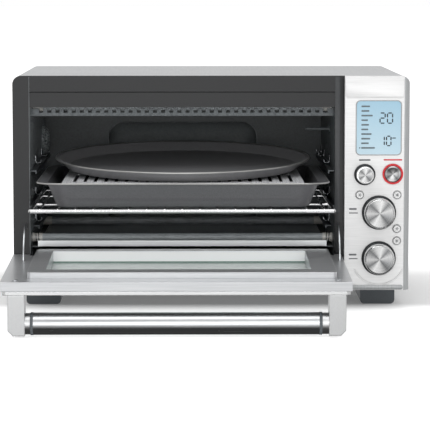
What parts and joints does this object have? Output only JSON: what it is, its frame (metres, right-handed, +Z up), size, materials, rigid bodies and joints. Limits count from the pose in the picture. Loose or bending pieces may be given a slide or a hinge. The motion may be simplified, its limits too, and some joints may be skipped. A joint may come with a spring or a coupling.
{
  "type": "toaster oven",
  "caption": "Countertop convection toaster oven with a drop-down glass door, bar handle, wire rack, pans, crumb tray and a right-hand control panel with dials and a display.",
  "frame": {"origin": "middle of the footprint, with the door open, on the surface that the feet stand on", "axes": "+X to the viewer's right across the front, +Y from the front to the back, +Z up"},
  "size_m": [0.47, 0.5426, 0.282],
  "materials": {
    "housing_steel": "brushed stainless steel sheet",
    "fascia_steel": "fine brushed light silver",
    "edge_steel": "satin silver",
    "dark_frame": "satin charcoal enamel",
    "liner": "non-stick grey enamel",
    "bare_steel": "galvanised steel",
    "wire_chrome": "bright chrome plate",
    "handle_steel": "satin stainless",
    "dark_plastic": "matt charcoal",
    "black_rubber": "matt",
    "quartz": "frosted quartz tube",
    "ceramic": "glazed ceramic",
    "lamp_glass": "dimpled clear glass",
    "pane_glass": "clear tempered glass, faint green",
    "display": "back-lit display",
    "board_green": "lacquered circuit board",
    "pan_enamel": "dark vitreous enamel",
    "pan_nonstick": "dark non-stick coating",
    "tray_steel": "bright rolled aluminium",
    "knob_metal": "radially spun aluminium",
    "red_light": "translucent red ring",
    "key_silver": "silver key"
  },
  "bodies": {
    "housing": {"outer_wrap": "housing_steel", "base_plate": "bare_steel", "rear_panel": "bare_steel", "rear_cover": "bare_steel", "front_frame": "dark_frame", "front_header": "dark_frame", "cavity_floor": "liner", "cavity_ceiling": "liner", "cavity_wall_left": "liner", "cavity_wall_right": "liner", "cavity_back": "liner", "pan_recess": "liner", "rack_guides": "liner", "top_guard": "liner", "heater_tubes": "quartz", "heater_ceramics": "ceramic", "temperature_probe": "bare_steel", "lamp_lens": "lamp_glass", "lamp_bulb": "lamp_glass", "lamp_housing": "bare_steel", "fan_grille": "liner", "fan_chamber": "bare_steel", "fan_motor": "dark_plastic", "feet": "dark_plastic", "foot_pads": "black_rubber", "hinge_ears": "bare_steel", "cord_gland": "black_rubber", "rear_screws": "bare_steel", "control_fascia": "fascia_steel", "fascia_edge": "edge_steel", "lcd_window": "display", "lcd_module": "display", "control_board": "board_green", "dial_encoders": "dark_plastic", "button_switches": "dark_plastic", "start_light_ring": "red_light", "power_board": "board_green"},
    "door": {"door_panel": "housing_steel", "door_skin": "housing_steel", "door_inner_frame": "housing_steel", "door_glass_inner": "pane_glass", "door_glass_outer": "pane_glass", "handle_bar": "handle_steel", "handle_posts": "handle_steel", "handle_rings": "dark_plastic", "check_arms": "bare_steel"},
    "rack": {"wire_rack": "wire_chrome"},
    "roasting": {"roasting_pan": "pan_enamel", "broil_rack": "pan_enamel"},
    "pizza": {"pizza_pan": "pan_nonstick"},
    "tray": {"crumb_tray": "tray_steel"},
    "function_knob": {"function_dial": "knob_metal"},
    "temperature_knob": {"temp_dial": "knob_metal"},
    "time_knob": {"time_dial": "knob_metal"},
    "start_key": {"start_button": "knob_metal"},
    "key_a": {"icon_button_a": "key_silver"},
    "key_b": {"icon_button_b": "key_silver"},
    "key_c": {"icon_button_c": "key_silver"},
    "key_d": {"icon_button_d": "key_silver"},
    "fan": {"fan_blade": "tray_steel"}
  },
  "joints": [
    {"name": "door_hinge", "type": "hinge", "parent": "housing", "child": "door", "pos_m": [0, -0.07371, 0.0645], "axis": [-1, 0, 0], "range_deg": [0, 92]},
    {"name": "rack_slide", "type": "slide", "parent": "housing", "child": "rack", "axis": [0, 1, 0], "range_m": [0, 0.1005]},
    {"name": "roasting_pan_slide", "type": "slide", "parent": "rack", "child": "roasting", "axis": [0, 1, 0], "range_m": [-0.15, 0]},
    {"name": "pizza_pan_slide", "type": "slide", "parent": "roasting", "child": "pizza", "axis": [0, 0.9987, 0.0506], "range_m": [-0.2, 0]},
    {"name": "crumb_tray_slide", "type": "slide", "parent": "housing", "child": "tray", "axis": [0, 1, 0], "range_m": [-0.2, 0]},
    {"name": "function_dial_turn", "type": "hinge", "parent": "housing", "child": "function_knob", "pos_m": [0.1817, -0.07871, 0.1657], "axis": [0, -1, 0], "continuous": true},
    {"name": "temp_dial_turn", "type": "hinge", "parent": "housing", "child": "temperature_knob", "pos_m": [0.1988, -0.07871, 0.1205], "axis": [0, -1, 0], "continuous": true},
    {"name": "time_dial_turn", "type": "hinge", "parent": "housing", "child": "time_knob", "pos_m": [0.1988, -0.07871, 0.066], "axis": [0, -1, 0], "continuous": true},
    {"name": "start_button_press", "type": "slide", "parent": "housing", "child": "start_key", "axis": [0, 1, 0], "range_m": [0, 0.0015], "stiffness_N_per_m": 600, "springref_m": -0.0005},
    {"name": "icon_button_a_press", "type": "slide", "parent": "housing", "child": "key_a", "axis": [0, 1, 0], "range_m": [0, 0.0008], "stiffness_N_per_m": 600, "springref_m": -0.0005},
    {"name": "icon_button_b_press", "type": "slide", "parent": "housing", "child": "key_b", "axis": [0, 1, 0], "range_m": [0, 0.0008], "stiffness_N_per_m": 600, "springref_m": -0.0005},
    {"name": "icon_button_c_press", "type": "slide", "parent": "housing", "child": "key_c", "axis": [0, 1, 0], "range_m": [0, 0.0008], "stiffness_N_per_m": 600, "springref_m": -0.0005},
    {"name": "icon_button_d_press", "type": "slide", "parent": "housing", "child": "key_d", "axis": [0, 1, 0], "range_m": [0, 0.0008], "stiffness_N_per_m": 600, "springref_m": -0.0005},
    {"name": "fan_turn", "type": "hinge", "parent": "housing", "child": "fan", "pos_m": [0.155, 0.10329, 0.15], "axis": [1, 0, 0], "continuous": true}
  ],
  "couplings": [
    {"joint": "rack_slide", "follows": "door_hinge", "m_per_rad": 0.062277}
  ]
}
